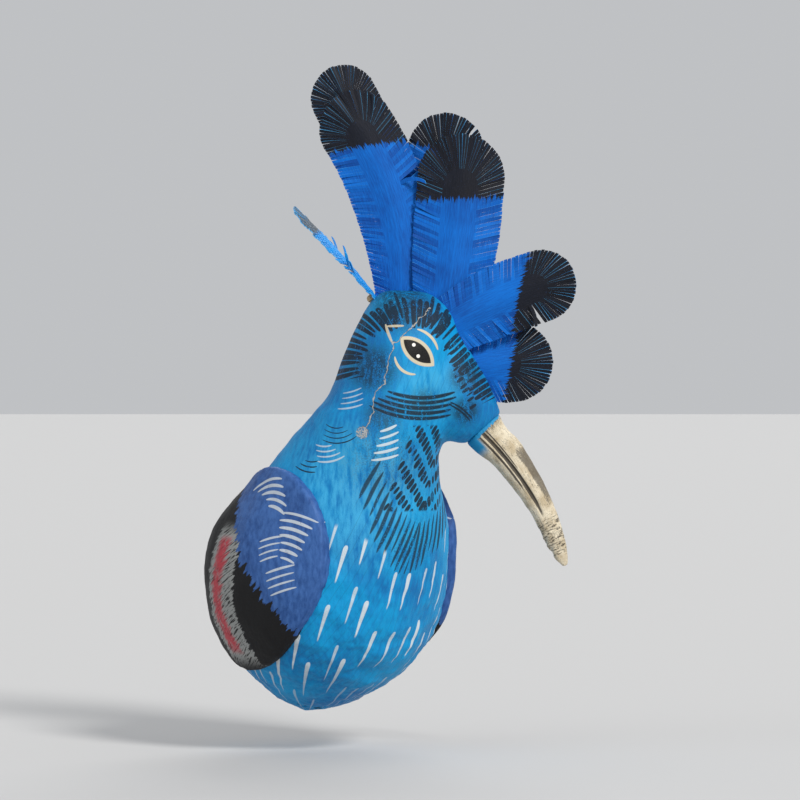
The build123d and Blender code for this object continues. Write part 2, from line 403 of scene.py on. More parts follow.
def strokes(route, count, pitch, width, slip=0.0, ragged=0.25, soft=0.35):
    """Brush strokes side by side along a route; each starts and ends a little differently."""
    between = 0 if count % 2 else 0.5
    row = (route.across / pitch + between).round() - between
    aside = abs(route.across - row * pitch)
    luck = (row + 40.5).chance()
    share = (route.along - row * slip) / route.half + (luck - 0.5) * ragged
    body_of_stroke = (1 - share * share).most(0) ** 0.35
    wanted = row.maths("LESS_THAN", abs(row), count / 2)
    edge = body_of_stroke * (width / 2) * (0.75 + luck * 0.5) - aside
    painted = body_of_stroke.maths("GREATER_THAN", body_of_stroke, 0.05)
    return edge.fades(-soft / 2, soft / 2) * wanted * painted


def dashes(route, pitch, length, width, slant=0.0, off=0.0, soft=0.35):
    """Short brush marks that cross a route, one after another from its start to its end."""
    moved = (route.along + route.across * slant) / pitch
    cell = moved.floor()
    luck = (cell + 7.5).chance()
    other = (cell + 0.5).chance()
    aside = abs(moved - cell - 0.5 + (luck - 0.5) * 0.45) * pitch
    share = (route.across - off + (other - 0.5) * length * 0.4) / (length / 2)
    body_of_dash = (1 - share * share).most(0) ** 0.3
    inside = (route.half - abs(route.along)).fades(-0.1, 0.1)
    edge = body_of_dash * (width / 2) * (0.55 + other * 0.8) - aside
    painted = body_of_dash.maths("GREATER_THAN", body_of_dash, 0.05)
    return edge.fades(-soft / 2, soft / 2) * inside * painted


def smudge(place, centre, reach):
    """A soft round patch."""
    return place.vectors("DISTANCE", place, (*centre, 0), output="Value").fades(reach, reach * 0.3)


def any_of(masks):
    """The strongest of several masks."""
    strongest = masks[0]
    for mask in masks[1:]:
        strongest = strongest.most(mask)
    return strongest


HEAD_AXES = Matrix((FORWARD, UP, CHEEK)).transposed()


def head_place(place):
    """Places as mm forward and up in the head's centre plane, and out of the cheek."""
    turned = {"Vector": place, "Location": NECK, "Rotation": HEAD_AXES.to_euler()}
    return place.add("ShaderNodeMapping", {"vector_type": "TEXTURE"}, turned)


def eye(flat):
    """The almond eye: its cream rim, its black middle and two white glints."""
    centre = Vector((26, 51.2))
    normal = Vector((0.65, 0.76))
    half_long, half_wide = 14.2, 7.2
    radius = (half_long**2 + half_wide**2) / (2 * half_wide)
    sides = []
    for side in (-1, 1):
        middle = centre + normal * side * (radius - half_wide)
        sides.append(flat.vectors("DISTANCE", flat, (*middle, 0), output="Value"))
    depth = radius - sides[0].most(sides[1])
    rim = depth.fades(-0.3, 0.3)
    pupil = depth.fades(1.9, 2.4)
    glints = any_of([smudge(flat, spot, 1.7).fades(0.3, 0.6) for spot in ((23.8, 55.4), (26.6, 48.2))])
    return rim, pupil, glints


def crack_line(flat):
    """The old split in the paper, from the crown down behind the eye to the neck."""
    bends = ((34, 78.6), (24, 69), (11, 56), (7.8, 46), (4.6, 30), (-2, 23.5), (-1.9, 13.6), (-8.5, -2.6))
    tangle = flat.add("ShaderNodeTexNoise", {}, {"Vector": flat, "Scale": 0.25, "Detail": 3.0}, "Color")
    wander = flat.vectors("SUBTRACT", tangle, (0.5, 0.5, 0.5)).stretched(5, 5, 0)
    shaken = flat.vectors("ADD", flat, wander)
    nearest = None
    for start, end in zip(bends, bends[1:]):
        run = Vector(end) - Vector(start)
        from_start = shaken.vectors("SUBTRACT", shaken, (*start, 0))
        share = from_start.dot((*(run / run.length_squared), 0)).most(0).least(1)
        point = share.add("ShaderNodeCombineXYZ", {}, {0: share * run.x, 1: share * run.y})
        gap = from_start.vectors("DISTANCE", from_start, point, output="Value")
        nearest = gap if nearest is None else nearest.least(gap)
    return nearest


CREAM = (0.60, 0.52, 0.36, 1)
CHALK = (0.62, 0.68, 0.70, 1)
SOOT = (0.005, 0.005, 0.007, 1)
PUPIL = (0.004, 0.004, 0.004, 1)
GLINT = (0.85, 0.83, 0.78, 1)
BARE_PAPER = (0.42, 0.40, 0.36, 1)
BAR_ROW = 13.4                              # rows of bars on the breast, from one to the next, in mm
BAR_PITCH = 3.1                             # bars in a row, from one to the next
FRINGE_PITCH = 4.3                          # long strokes below the bars
BELLY_PITCH = 12.5                          # white strokes on the belly, from side to side
BELLY_FALL = 38                             # and from one down to the next
BELLY_RADIUS = 78


def head_strokes(flat):
    """Black strokes over the crown, brow and cheek, and the small groups on the nape."""
    return [
        dashes(Route(flat, (-17, 30), (2, 74), (44, 70)), 4.0, 18, 3.7, slant=0.15, soft=0.7),
        dashes(Route(flat, (38, 72), (57, 50), (76, 16)), 3.7, 14, 2.9, slant=0.1, off=-1.5, soft=0.6),
        dashes(Route(flat, (44, 55), (54, 35), (63, 15)), 3.6, 5.5, 1.8, slant=0.2),
        strokes(Route(flat, (4, 20), (27, 15), (52, 19)), 5, 3.3, 2.3, slip=-2.0, soft=0.8),
        strokes(Route(flat, (47, 18), (54, 14), (61, 7)), 2, 1.8, 1.7),
        strokes(Route(flat, (-34, 0), (-26, -2.6), (-17, 0)), 4, 3.2, 0.8, slip=1.6),
        strokes(Route(flat, (-48, -21), (-43, -22.6), (-37, -22)), 3, 3.3, 0.8, slip=-1.5),
    ]


def breast_bars(aside, height):
    """Rows of short black bars that meet in a V on the breast."""
    row = (height - aside * 0.93 - 35) / BAR_ROW
    row_number = (row + 0.5).floor()
    moved = (aside + (row - row_number) * 5) / BAR_PITCH
    number = moved.floor()
    luck = (number + row_number * 13.0 + 0.5).chance()
    share = abs(row - row_number + (luck - 0.5) * 0.1) * BAR_ROW / (3.2 + luck * 1.6)
    short = (1 - share * share).most(0) ** 0.3
    side = abs(moved - number - 0.5) * BAR_PITCH
    bars = (short * (0.9 + luck * 0.6) - side).fades(-0.2, 0.2) * (31 - aside).fades(-1, 1)
    return bars * (height - 33).fades(-1, 1) * (88 - height).fades(-1, 1)


def breast_fringe(aside, height):
    """Long black strokes that hang below the bars, lower towards the middle."""
    hang = height - ((aside / 45) ** 2 * 42 + 12)
    moved = (aside + hang * 0.12) / FRINGE_PITCH
    number = moved.floor()
    luck = (number + 0.5).chance()
    share = (hang + (luck - 0.5) * 6) / (13 + luck * 4)
    long = (1 - share * share).most(0) ** 0.5
    side = abs(moved - number - 0.5) * FRINGE_PITCH
    return (long * (0.8 + luck * 0.6) - side).fades(-0.3, 0.4) * (48 - aside).fades(-1, 1)


def belly_strokes(wide, deep, height):
    """White strokes that fall down the belly, each round at the top and pointed below."""
    round_back = deep + 58 + height * 0.25
    bearing = wide.maths("ARCTAN2", wide, round_back * -1) * BELLY_RADIUS
    moved = (bearing + height * -0.16) / BELLY_PITCH
    number = moved.floor()
    luck = (number + 0.5).chance()
    fall = (height + luck * 40 + 110) / BELLY_FALL
    fall_number = fall.floor()
    other = (number * 3.0 + fall_number * 17.0 + 0.5).chance()
    run = fall - fall_number
    head_end = ((run - 0.68) / 0.07).most(0).least(1)
    taper = (run / 0.68).least(1) ** 0.8 * (1 - head_end * head_end) ** 0.5
    side = abs(moved - number - 0.5 + (other - 0.5) * 0.45) * BELLY_PITCH
    below = abs(bearing - 4) * 0.55 - 4 - height
    fallen = (taper * (1.0 + other * 0.9) - side).fades(-0.25, 0.25) * below.fades(-2, 2)
    fallen = fallen * (24 - height).fades(-2, 2) * run.fades(0.10, 0.16) * (0.75 - run).fades(0, 0.01)
    return fallen * (0.7 + other * 0.3) * height.fades(-110, -60).most(0.55)


def nape_strokes(flat):
    """Three small groups of white strokes behind the cheek and down the nape."""
    return [
        strokes(Route(flat, (-23, 19.5), (-16, 20.4), (-9, 22.8)), 4, 3.3, 1.1, slip=-1.0) * 0.6,
        strokes(Route(flat, (1, -9), (8, -7.5), (15, -4.6)), 5, 4.4, 1.5, slip=-2.0) * 0.85,
        strokes(Route(flat, (-39, -13.6), (-32, -14.4), (-25, -12.4)), 4, 3.3, 1.2, slip=1.6) * 0.7,
    ]


def eye_lines(flat):
    """The single cream lines above, below and behind the eye."""
    return [
        strokes(Route(flat, (26.6, 65.3), (34.5, 60.8), (39.3, 51.5)), 1, 9, 1.5, ragged=0),
        strokes(Route(flat, (11.7, 47.5), (16, 39.5), (25.4, 36.6)), 1, 9, 1.5, ragged=0),
        strokes(Route(flat, (5.7, 68.7), (7.6, 62.5), (10.2, 56.5)), 1, 9, 1.5, ragged=0) * 0.8,
        strokes(Route(flat, (6.5, 67.3), (12, 67.5), (17.6, 67.6)), 1, 9, 1.3, ragged=0) * 0.8,
    ]


def bird_paint(place):
    """Cyan brushed over the whole bird, painted light paler on the breast and below the eye, then black and
    white strokes, the eye and the old crack.
    """
    flat = head_place(place).stretched(1, 1, 0)
    height = place.dot((0, 0, 1))
    wide = place.dot((1, 0, 0))
    deep = place.dot((0, 1, 0))
    brushed = place.stretched(1, 1, 0.25).noise(0.35, 5)
    broad = place.noise(0.022, 2)
    grit = place.noise(1.3, 4, 0.7)
    worn = grit * 0.55 + brushed * 0.45

    base = (broad * 0.7 + brushed * 0.5).fades(0.35, 0.8).blend((0.0, 0.13, 0.38, 1), (0.0, 0.30, 0.62, 1))
    # Painted light: the breast and the cheek below the eye are made paler where the light falls on them; on
    # the breast this is partly paint that wore less than elsewhere.
    pale = smudge(flat, (-12, -42), 60).most(smudge(flat, (34, 26), 26)) * brushed.fades(0.3, 0.65)
    base = (pale * 0.5).blend(base, (0.07, 0.42, 0.68, 1))
    grey_wear = smudge(flat, (2, -20), 38) * worn.fades(0.45, 0.62)
    base = (grey_wear * 0.4).blend(base, (0.10, 0.22, 0.30, 1))

    # the breast is painted either side of a line that follows the turned neck
    aside = abs(wide - 2 - height * 0.28)
    chest = aside.add("ShaderNodeCombineXYZ", {}, {0: aside, 1: height})
    front = (deep + 85).fades(5, -5)
    before_jaw = flat.dot((1, 0, 0)).fades(44, 39)
    black = [
        *head_strokes(flat),
        breast_bars(aside, height) * front * before_jaw,
        breast_fringe(aside, height) * front * 0.9,
    ]
    ground_in = any_of([
        smudge(flat, (-2, 40), 22),
        smudge(flat, (57, 36), 15),
        smudge(flat, (16, 84), 28),
        smudge(flat, (4, 10), 18) * 0.8,
        smudge(flat, (57, 13), 13),
        smudge(flat, (30, 17), 15) * 0.8,
    ])
    dust = smudge(flat, (6, -14), 30).most(smudge(chest, (2, 12), 26) * front) * 0.55
    soot = any_of(black) * worn.fades(0.36, 0.46)
    soot = soot.most(ground_in * worn.fades(0.40, 0.54) * 0.85).most(dust * grit.fades(0.5, 0.62))
    base = (soot * 0.93).blend(base, SOOT)

    white = any_of([belly_strokes(wide, deep, height), *nape_strokes(flat)])
    base = (white * worn.fades(0.3, 0.42) * 0.95).blend(base, CHALK)
    rim, pupil, glints = eye(flat)
    cream = any_of([rim, *eye_lines(flat)])
    base = (cream * (0.75 + grit * 0.4)).blend(base, CREAM)
    base = glints.blend(pupil.blend(base, PUPIL), GLINT)
    chip = (smudge(flat, (-9, -0.5), 6) * grit.fades(0.42, 0.5)).fades(0.3, 0.6)
    split = crack_line(flat).fades(0.5, 0.15).most(chip)
    base = (split * 0.85).blend(base, BARE_PAPER)

    relief = brushed * 0.35 + grit * 0.22 - split * 0.5 + white * 0.12 + cream * 0.12
    return base, 0.42 + grit * 0.25 + soot * 0.1, relief


painted_paper = coloured("painted_paper", bird_paint, Specular_IOR_Level=0.25)
wear(painted_paper, body, head)
for shell, node, finish in (
    (body, "body_shell", "painted_paper_body"),
    (head, "head_shell", "painted_paper_head"),
):
    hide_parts(node)
    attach(shell, "root")


# ---- neck collar --------------------------------------------------------------------------------
# A ring of rolled grey card, glued inside both shells to hold the head on the body. It can't be
# seen once the neck is papered over.
def card_paint(place):
    """Grey pulp card with short fibres."""
    fibre = place.noise(1.1, 6)
    colour = fibre.fades(0.35, 0.7).blend((0.20, 0.17, 0.13, 1), (0.36, 0.32, 0.26, 1))
    return colour, fibre * 0.2 + 0.7, fibre * 0.15


wear(coloured("rolled_card", card_paint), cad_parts["neck_collar"])


# ---- wings --------------------------------------------------------------------------------------
# An oval pad of layered paper is glued on each flank and painted with a navy shoulder, a black
# tail and a red band between rows of grey strokes.
PAD_SINK = 1.6                      # how far the pad's inner face is moved along its normals, in mm
PAD_GRAIN = 1.3 * MM


def wing_pad(name, node):
    """The pad with its rim rounded and its face as uneven as the body's."""
    pad = copy_of(name, node)
    low_corner, high_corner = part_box(node)
    inward = Vector((-1 if low_corner.x > 0 else 1, 0, 0))
    alone(pad)
    for polygon in pad.data.polygons:
        polygon.select = polygon.normal.dot(inward) > 0.1
    bpy.ops.object.mode_set(mode="EDIT")
    bpy.ops.mesh.select_mode(type="FACE")
    bpy.ops.transform.shrink_fatten(value=PAD_SINK * MM)
    bpy.ops.object.mode_set(mode="OBJECT")
    modify(pad, "REMESH", mode="VOXEL", voxel_size=PAD_GRAIN)
    modify(pad, "SMOOTH", factor=0.5, iterations=12)
    modify(pad, "DISPLACE", texture=bpy.data.textures["paper_lumps"], strength=2.4 * MM, mid_level=0.5,
           texture_coords="LOCAL")
    modify(pad, "DISPLACE", texture=bpy.data.textures["paper_creases"], strength=1.0 * MM, mid_level=0.5,
           texture_coords="LOCAL")
    cut_away(pad, (0, 0, 0), (0, -1, 0))
    bpy.ops.object.shade_smooth()
    return pad


def wing_paint(side):
    """The paint of one wing; side is -1 for the bird's right and 1 for its left."""
    shift = 0 if side < 0 else -8

    def paint(place):
        deep = place.dot((0, 1, 0)) + shift
        height = place.dot((0, 0, 1))
        flat = place.add("ShaderNodeCombineXYZ", {}, {0: deep, 1: height})
        brushed = place.stretched(1, 0.6, 0.3).noise(0.5, 5)
        grit = place.noise(1.4, 4, 0.7)
        worn = grit * 0.5 + brushed * 0.5
        navy = (brushed * 0.7 + place.noise(0.04) * 0.5).fades(0.35, 0.8)
        colour = navy.blend((0.010, 0.052, 0.20, 1), (0.045, 0.13, 0.37, 1))

        # the black tail starts at a ragged slanting edge
        tailward = deep * 0.835 - height * 0.55
        along = deep * 0.55 + height * 0.835
        bristles = {0: along * 0.26 + tailward * 0.05, 1: tailward * 0.03}
        brush_ends = along.add("ShaderNodeCombineXYZ", {}, bristles)
        ragged = (brush_ends.noise(1.0, 4, 0.7) - 0.5) * 26
        black = (tailward + 59 + ragged).fades(0, 0.8)
        colour = black.blend(colour, (0.004, 0.004, 0.005, 1))

        # the red band and its grey hatching
        middle = deep + 41 + (height + 20) * (height + 20) * 0.004 + (height + 20) * 0.09
        span = (46 - abs(height + 22)).fades(-3, 8)
        slanted = height.add("ShaderNodeCombineXYZ", {}, {0: height * 0.42 + deep * 0.22, 1: deep * 0.05})
        comb = (slanted.noise(1.0, 3, 0.6) - 0.5) * 16
        hairs = slanted.noise(2.4, 2).fades(0.36, 0.5)
        hatch = (17 - abs(middle + 3) + comb).fades(0, 1) * hairs * span * black
        red_span = (38 - abs(height + 22)).fades(-2, 4)
        red = (8 - abs(middle) + comb * 1.1).fades(-1, 5) * worn.fades(0.34, 0.5) * red_span
        colour = (hatch * 0.8).blend(colour, (0.34, 0.35, 0.34, 1))
        colour = (red * (0.65 + hairs * 0.3)).blend(colour, (0.44, 0.03, 0.05, 1))

        # rows of short white strokes on the shoulder
        pale = any_of([
            strokes(Route(flat, (-74, 43.5), (-85, 45), (-96, 42)), 5, 4.4, 1.8, slip=-4.6),
            strokes(Route(flat, (-97, 18), (-105, 16.5), (-113, 12.5)), 7, 4.7, 1.8, slip=-0.9),
            strokes(Route(flat, (-97, 11), (-90, 9.6), (-83, 7)), 4, 4.1, 1.4, slip=-1.0),
            strokes(Route(flat, (-106, -8), (-98, -10.5), (-89, -14)), 4, 4.6, 1.5, slip=-1.0),
        ])
        colour = (pale * worn.fades(0.3, 0.42) * 0.9).blend(colour, (0.50, 0.55, 0.60, 1))
        relief = brushed * 0.3 + grit * 0.2 + pale * 0.12 + hatch * 0.15
        return colour, 0.4 + grit * 0.25 + black * 0.08, relief

    return paint


for side, node in ((-1, "right_wing"), (1, "left_wing")):
    pad = wing_pad(f"painted_{node}", node)
    wear(coloured(f"{node}_paint", wing_paint(side), Specular_IOR_Level=0.25), pad)
    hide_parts(node)
    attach(pad, "root")


# ---- beak wire ----------------------------------------------------------------------------------
# Soft iron wire, annealed black, bent to the beak's curve. Its straight tail runs back into the
# hollow head.
def wire_paint(place):
    """Dark fire scale with specks of brown rust."""
    scale = place.noise(1.5, 5)
    colour = scale.fades(0.5, 0.7).blend((0.03, 0.03, 0.033, 1), (0.10, 0.05, 0.03, 1))
    return colour, scale * 0.3 + 0.35, scale * 0.05


wear(coloured("annealed_wire", wire_paint, Metallic=0.9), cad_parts["beak_wire"])


# ---- beak ---------------------------------------------------------------------------------------
# Paper pulp pressed round the wire, filed to a curved horn, with the gape cut in as a groove. It
# is painted ivory and dragged over with a nearly dry black brush.
BEAK_ROOT = Vector((68.8, 1.8))             # the horn's middle line in the head's centre plane
BEAK_MIDDLE = Vector((100.5, -38.5))
BEAK_TIP = Vector((121.8, -87))
BEAK_GRAIN = 0.75 * MM


HORN_CENTRE = arc_centre(BEAK_ROOT, BEAK_MIDDLE, BEAK_TIP)
HORN_RADIUS = (BEAK_ROOT - HORN_CENTRE).length
HORN_TURN = (BEAK_TIP - HORN_CENTRE).angle(BEAK_ROOT - HORN_CENTRE)


def on_horn(point):
    """Share of the way to the tip, mm above the middle line, and mm out of the cheek."""
    local = in_head(point)
    arm = Vector((local.x, local.y)) - HORN_CENTRE
    share = arm.angle(BEAK_ROOT - HORN_CENTRE) / HORN_TURN
    if arm.angle(BEAK_TIP - HORN_CENTRE) > HORN_TURN and share < 1:
        share = -share
    return share, arm.length - HORN_RADIUS, local.z


def gape(point):
    """How deep the gape's groove is here, from 0 to 1."""
    share, above, out = on_horn(point)
    middle = -2.6 + 1.6 * share
    nearness = max(0.0, 1 - abs(above - middle) / 1.5)
    return nearness * ramp(abs(out), 1.5, 4) * ramp(share, 0.01, 0.05) * ramp(share, 0.72, 0.5)


def lower_bumps(point):
    """How far the rough underside swells here, from 0 to 1."""
    share, above, _ = on_horn(point)
    return ramp(above, 0.5, -3) * ramp(share, 0.62, 0.8) * ramp(share, 0.99, 0.93)


def root_flare(point):
    """How far the horn swells to meet the face's paper edge here, from 0 to 1."""
    share, _, _ = on_horn(point)
    return ramp(share, 0.2, 0.0) * ramp(share, -0.02, 0.0)


beak = copy_of("painted_horn", "beak")
modify(beak, "REMESH", mode="VOXEL", voxel_size=BEAK_GRAIN)
modify(beak, "SMOOTH", factor=0.5, iterations=3)
modify(beak, "DISPLACE", strength=1.2 * MM, mid_level=0, vertex_group=weighted(beak, "root", root_flare))
modify(beak, "DISPLACE", strength=-1.5 * MM, mid_level=0, vertex_group=weighted(beak, "gape", gape))
swelling = weighted(beak, "underside", lower_bumps)
modify(beak, "DISPLACE", strength=1.0 * MM, mid_level=0, vertex_group=swelling)
modify(beak, "DISPLACE", texture=lumps("pulp_bumps", "CLOUDS", 4.5, 2), strength=3.2 * MM, mid_level=0.5,
       texture_coords="LOCAL", vertex_group=swelling)
modify(beak, "DISPLACE", texture=lumps("pulp_file_marks", "CLOUDS", 6, 3), strength=0.7 * MM, mid_level=0.5,
       texture_coords="LOCAL")
modify(beak, "SMOOTH", factor=0.4, iterations=1)
bpy.ops.object.shade_smooth()


def horn_paint(place):
    """Ivory, with black dragged along the gape, across the tip and into the hollows."""
    local = head_place(place)
    flat = local.stretched(1, 1, 0)
    arm = flat.vectors("SUBTRACT", flat, (*HORN_CENTRE, 0))
    spoke = (BEAK_ROOT - HORN_CENTRE).normalized()
    ahead = Vector((spoke.y, -spoke.x))
    angle = arm.maths("ARCTAN2", arm.dot((*ahead, 0)), arm.dot((*spoke, 0)))
    along = angle * HORN_RADIUS
    above = arm.vectors("LENGTH", arm, output="Value") - HORN_RADIUS
    share = angle / HORN_TURN
    out = local.dot((0, 0, 1))
    on_side = along.add("ShaderNodeCombineXYZ", {}, {0: along, 1: above, 2: out})
    drag = on_side.stretched(0.10, 1.2, 1.2).noise(1.0, 5, 0.65)
    cross_drag = on_side.stretched(1.1, 0.22, 0.22).noise(1.0, 4, 0.65)
    grit = place.noise(1.1, 5, 0.75)
    blotch = place.noise(0.12, 3)

    colour = (drag * 0.5 + blotch * 0.7).fades(0.35, 0.8).blend((0.42, 0.33, 0.20, 1), (0.76, 0.68, 0.52, 1))
    lip = above + 2.6 - share * 1.6
    groove = abs(lip).fades(2.0, 0.2) * share.fades(0.78, 0.45)
    second = abs(lip - 2.6 + share * 2).fades(1.0, 0.1) * share.fades(0.5, 0.2)
    third = abs(lip + 3.4 - share * 2).fades(1.5, 0.1) * share.fades(0.7, 0.3)
    root = share.fades(0.16, 0.0) * 0.4
    near_tip = share.fades(0.52, 0.72) * share.fades(1.02, 0.9)
    ridge_marks = (above - 2).fades(0, 4) * share.fades(0.1, 0.3) * share.fades(0.8, 0.5) * 0.5
    soot = (groove * 1.1 + (drag - 0.42)).fades(0.35, 0.6)
    soot = soot.most((second + drag - 0.5).fades(0.55, 0.8)).most((third + drag - 0.5).fades(0.5, 0.75))
    soot = soot.most((near_tip * 0.62 + cross_drag - 0.5).fades(0.60, 0.72) * (grit.fades(0.35, 0.5)))
    soot = soot.most((root + ridge_marks + drag * 0.6 + grit * 0.5 - 0.6).fades(0.22, 0.42) * 0.85)
    soot = soot.most(grit.fades(0.56, 0.66) * 0.65).most((drag * 0.7 + grit * 0.3).fades(0.54, 0.62) * 0.75)
    colour = (soot * 0.92).blend(colour, (0.028, 0.022, 0.017, 1))

    # blue from the face runs down over the root as far as an uneven line
    brush_edge = (place.noise(0.5, 2) - 0.5) * 3
    blue = (1.2 + brush_edge - along + abs(out) * 0.1).fades(-0.4, 0.4)
    under = (above + 6.5).fades(0.5, -2.0) * (12 - along).fades(-4, 4)
    colour = blue.most(under).blend(colour, (0.01, 0.25, 0.50, 1))
    relief = drag * 0.35 + grit * 0.25 - soot * 0.15
    return colour, 0.45 + grit * 0.3, relief


wear(coloured("painted_horn", horn_paint, Specular_IOR_Level=0.35), beak)
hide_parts("beak")
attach(beak, "root")


# ---- crest feathers -----------------------------------------------------------------------------
# Seven feathers are cut from bright blue card, creased down the middle, snipped into narrow
# strips along both edges and painted on the face. The snipped edges still show the bare card.
CARD = 0.6                          # thickness of the card, in mm
FOLD = radians(9)                   # each half falls back from the crease by this
STRIP = 2.45                        # width of a snipped strip
UNCUT = 0.4                         # share of the half width that stays whole
ROOT = 6                            # the foot is pushed this far into a slit in the crown
RISE = 0.34                         # a strip climbs this much for each mm that it runs outwards

# foot and tip in the head's centre plane, how far each stands towards the right cheek, bow of the
# crease, width, width at the foot, turn about the crease, then where the black tip starts, as a
# share of the length, and its slant; all lengths in mm
FEATHERS = (
    ((-1, 88), (-53.5, 145.5), (0, 0), 2, 34, 14, 82, 0.70, 0.0),
    ((15.5, 90.5), (-28, 215.5), (-3, 3), 13, 50, 34, 0, 0.72, 0.35),
    ((22, 87), (-32.5, 236), (-14.5, -17), 8, 44, 28, 0, 0.70, 0.1),
    ((32, 88.6), (50, 206.5), (-8.5, -9), -2, 51, 30, 0, 0.79, 0.0),
    ((45, 81), (55.5, 192.5), (2.5, 5), 2, 57, 44, 0, 0.62, -0.12),
    ((52, 71), (128, 99.5), (7.5, 16), -3, 47, 40, 0, 0.53, 0.62),
    ((67, 41.7), (114, 48.5), (0.5, 3), 0, 52, 40, 0, 0.42, 0.36),
)
# strips that are bent forwards, splayed or torn off: feather, side, share of the length, then how
# far the strip lifts and turns in degrees
LOOSE = (
    (1, 1, 0.30, 30, 25), (1, 1, 0.36, 34, 30), (1, -1, 0.42, 25, 28), (1, -1, 0.50, 20, 24),
    (2, -1, 0.50, 42, -34), (2, -1, 0.80, 6, 7),
    (6, -1, 0.30, 10, 5), (6, -1, 0.55, 24, -20), (5, 1, 0.50, 6, 4), (4, -1, 0.86, 12, 8),
)
HEAD_FRAME = Matrix.Translation(NECK * MM) @ HEAD_AXES.to_4x4()


class Card:
    """One feather's creased card: where a place of the flat card lies once it is bent and set."""

    def __init__(self, foot, tip, stand, bow, width, foot_width, turn):
        start = Vector((*foot, stand[0]))
        end = Vector((*tip, stand[1]))
        self.chord = (end - start).normalized()
        self.side = self.chord.cross(UP)
        reach = (end - start).length / 2
        bow = bow or 0.01
        self.radius = (reach**2 + bow**2) / (2 * bow)
        self.centre = (start + end) / 2 + self.side * (bow - self.radius)
        self.swing = 2 * atan(bow / reach)
        self.length = 2 * self.swing * self.radius
        self.turn = turn
        self.width = width
        self.foot_width = foot_width
        self.round_from = self.length - width / 2

    def lay(self, across, along, lift):
        """The place in the head frame of a point of the flat card, in mm."""
        angle = self.swing * (2 * along / self.length - 1)
        spine = self.centre + self.radius * (sin(angle) * self.chord + cos(angle) * self.side)
        ahead = cos(angle) * self.chord - sin(angle) * self.side
        face = (UP - ahead * ahead.z).normalized()
        face = Quaternion(ahead, radians(self.turn)) @ face
        return spine + face.cross(ahead) * across + face * (lift - abs(across) * tan(FOLD))

    def half(self, along):
        """Half the card's width at a place along its straight part."""
        widening = min(1.0, max(0.0, along - ROOT) / self.round_from / 0.7)
        return self.foot_width / 2 + (self.width - self.foot_width) / 2 * widening * (2 - widening)

    def snips(self):
        """Each snip of one side, from its inner to its outer end, from the foot to the tip."""
        climb = RISE * (1 - UNCUT) * self.width / 2
        whole = self.round_from + ROOT
        count = ceil(whole / STRIP)
        for step in range(count):
            outer = whole * step / count
            inner = outer - climb * min(1, outer / climb / 2.5)
            yield (self.half(inner) * UNCUT, inner - ROOT), (self.half(outer), outer - ROOT)
        radius = self.width / 2
        turns = ceil(radius * pi / 2 / STRIP)
        for step in range(turns + 1):
            angle = pi / 2 * step / turns
            inner = (radius * UNCUT * cos(angle), self.round_from - climb + radius * UNCUT * sin(angle))
            yield inner, (radius * cos(angle), self.round_from + radius * sin(angle))


bpy.ops.mesh.primitive_grid_add(x_subdivisions=4, y_subdivisions=1, size=1, location=(0.5, 0.5, 0))
strip_model = bpy.context.object
bpy.ops.object.transform_apply(location=True)
bpy.ops.object.mode_set(mode="EDIT")
bpy.ops.mesh.select_all(action="DESELECT")
bpy.ops.object.mode_set(mode="OBJECT")
for vertex in strip_model.data.vertices:
    vertex.select = vertex.co.x > 0.99
bpy.ops.object.mode_set(mode="EDIT")
bpy.ops.mesh.select_mode(type="VERT")
bpy.ops.mesh.bevel(offset=0.09, affect="VERTICES", segments=1)
bpy.ops.object.mode_set(mode="OBJECT")


def shaped(model, name, bend, material):
    """A copy of a flat model with each of its points put where the bend function says."""
    piece = bpy.data.objects.new(name, model.data.copy())
    bpy.context.collection.objects.link(piece)
    places = piece.data.attributes.new("card_place", "FLOAT_VECTOR", "CORNER")
    bent = [bend(vertex.co) for vertex in piece.data.vertices]
    for corner, place in zip(piece.data.loops, places.data):
        place.vector = bent[corner.vertex_index][1]
    for vertex, (place, _) in zip(piece.data.vertices, bent):
        vertex.co = place
    for paint in material:
        piece.data.materials.append(paint)
    return piece


